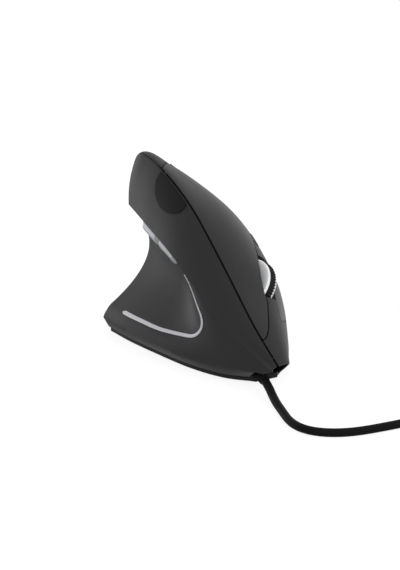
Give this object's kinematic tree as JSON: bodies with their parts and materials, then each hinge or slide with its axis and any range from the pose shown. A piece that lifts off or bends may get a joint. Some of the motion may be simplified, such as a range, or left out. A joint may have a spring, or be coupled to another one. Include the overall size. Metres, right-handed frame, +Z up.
{
  "type": "vertical computer mouse",
  "caption": "Wired vertical mouse for the left hand: a tall wedge body with a scooped thumb side, sprung buttons, a scroll wheel and a cord to a plug.",
  "frame": {"origin": "middle of the body's box at desk level, the cord left out", "axes": "+Z up, +Y to the front where the cord leaves, +X to the thumb side"},
  "size_m": [0.135, 0.1703, 0.0747],
  "materials": {
    "base_plastic": "fine matte",
    "glide": "smooth low-friction",
    "steel": "plain",
    "shell": "soft-touch matte",
    "plate": "satin",
    "accent": "satin pale grey",
    "board": "solder mask",
    "chip": "moulded",
    "lens": "clear moulded",
    "lamp": "clear red",
    "header": "moulded",
    "white_plastic": "moulded",
    "encoder": "moulded",
    "wheel_metal": "satin metal",
    "tyre": "ribbed",
    "button": "soft-touch matte",
    "silver_button": "gloss silver",
    "cord": "matte",
    "tie": "moulded",
    "plug_metal": "plain"
  },
  "bodies": {
    "chassis": {"base_plate": "base_plastic", "glide_pads": "glide", "base_screws": "steel", "thumb_shell": "shell", "palm_shell": "shell", "ridge_plate": "plate", "accent_strip": "accent", "inner_frame": "base_plastic", "main_board": "board", "sensor_chip": "chip", "sensor_lens": "lens", "sensor_lamp": "lamp", "controller_chip": "chip", "cable_header": "header", "board_screws": "steel", "finger_board": "board", "thumb_board": "board", "upper_switch": "chip", "lower_switch": "chip", "middle_switch": "chip", "pace_switch": "chip", "back_switch": "chip", "forward_switch": "chip", "upper_hinge_pin": "steel", "lower_hinge_pin": "steel", "cradle_pin": "steel", "cable_bushing": "cord", "cord_run": "cord", "cord_coil": "cord", "cord_tail": "cord", "coil_tie": "tie", "plug_grip": "cord", "plug_shell": "plug_metal"},
    "upper_button": {"upper_button": "button"},
    "lower_button": {"lower_button": "button"},
    "cradle": {"wheel_cradle": "white_plastic", "wheel_encoder": "encoder"},
    "wheel": {"wheel_hub": "wheel_metal", "wheel_tyre": "tyre", "wheel_axle": "steel"},
    "pace_button": {"pace_button": "button"},
    "back_button": {"back_button": "silver_button"},
    "forward_button": {"forward_button": "silver_button"},
    "upper_plunger": {"upper_plunger": "header"},
    "lower_plunger": {"lower_plunger": "header"},
    "middle_plunger": {"middle_plunger": "header"},
    "pace_plunger": {"pace_plunger": "header"},
    "back_plunger": {"back_plunger": "header"},
    "forward_plunger": {"forward_plunger": "header"}
  },
  "joints": [
    {"name": "upper_press", "type": "hinge", "parent": "chassis", "child": "upper_button", "pos_m": [0.00253, -0.02934, 0.06531], "axis": [-0.6319, -0.2939, -0.7172], "range_deg": [0, 0.4], "stiffness_Nm_per_rad": 4, "springref_deg": -0.23},
    {"name": "lower_press", "type": "hinge", "parent": "chassis", "child": "lower_button", "pos_m": [-0.02122, -0.02741, 0.03389], "axis": [-0.2998, -0.2221, -0.9278], "range_deg": [0, 0.45], "stiffness_Nm_per_rad": 4, "springref_deg": -0.23},
    {"name": "cradle_press", "type": "hinge", "parent": "chassis", "child": "cradle", "pos_m": [-0.01241, 0.00518, 0.03911], "axis": [-0.7522, -0.1798, -0.6339], "range_deg": [0, 0.9], "stiffness_Nm_per_rad": 1.5, "springref_deg": -0.57},
    {"name": "wheel_spin", "type": "hinge", "parent": "cradle", "child": "wheel", "pos_m": [-0.00978, 0.01931, 0.03199], "axis": [-0.7522, -0.1798, -0.6339], "continuous": true},
    {"name": "pace_press", "type": "slide", "parent": "chassis", "child": "pace_button", "axis": [0.8091, -0.2352, -0.5386], "range_m": [0, 0.0005], "stiffness_N_per_m": 1000, "springref_m": -0.0005},
    {"name": "back_press", "type": "slide", "parent": "chassis", "child": "back_button", "axis": [-0.7725, 0.097, 0.6275], "range_m": [0, 0.0006], "stiffness_N_per_m": 1000, "springref_m": -0.0005},
    {"name": "forward_press", "type": "slide", "parent": "chassis", "child": "forward_button", "axis": [-0.7725, 0.097, 0.6275], "range_m": [0, 0.0006], "stiffness_N_per_m": 1000, "springref_m": -0.0005},
    {"name": "upper_plunge", "type": "slide", "parent": "chassis", "child": "upper_plunger", "axis": [0.6242, -0.5026, -0.5982], "range_m": [0, 0.0009]},
    {"name": "lower_plunge", "type": "slide", "parent": "chassis", "child": "lower_plunger", "axis": [0.6242, -0.5026, -0.5982], "range_m": [0, 0.0009]},
    {"name": "middle_plunge", "type": "slide", "parent": "chassis", "child": "middle_plunger", "axis": [0.6242, -0.5026, -0.5982], "range_m": [0, 0.0009]},
    {"name": "pace_plunge", "type": "slide", "parent": "chassis", "child": "pace_plunger", "axis": [0.8091, -0.2352, -0.5386], "range_m": [0, 0.0009]},
    {"name": "back_plunge", "type": "slide", "parent": "chassis", "child": "back_plunger", "axis": [-0.7725, 0.097, 0.6275], "range_m": [0, 0.0009]},
    {"name": "forward_plunge", "type": "slide", "parent": "chassis", "child": "forward_plunger", "axis": [-0.7725, 0.097, 0.6275], "range_m": [0, 0.0009]}
  ],
  "couplings": [
    {"joint": "upper_plunge", "follows": "upper_press", "m_per_rad": 0.05729},
    {"joint": "lower_plunge", "follows": "lower_press", "m_per_rad": 0.048691},
    {"joint": "middle_plunge", "follows": "cradle_press", "m_per_rad": 0.0304},
    {"joint": "pace_plunge", "follows": "pace_press", "ratio": 1},
    {"joint": "back_plunge", "follows": "back_press", "ratio": 1},
    {"joint": "forward_plunge", "follows": "forward_press", "ratio": 1}
  ]
}
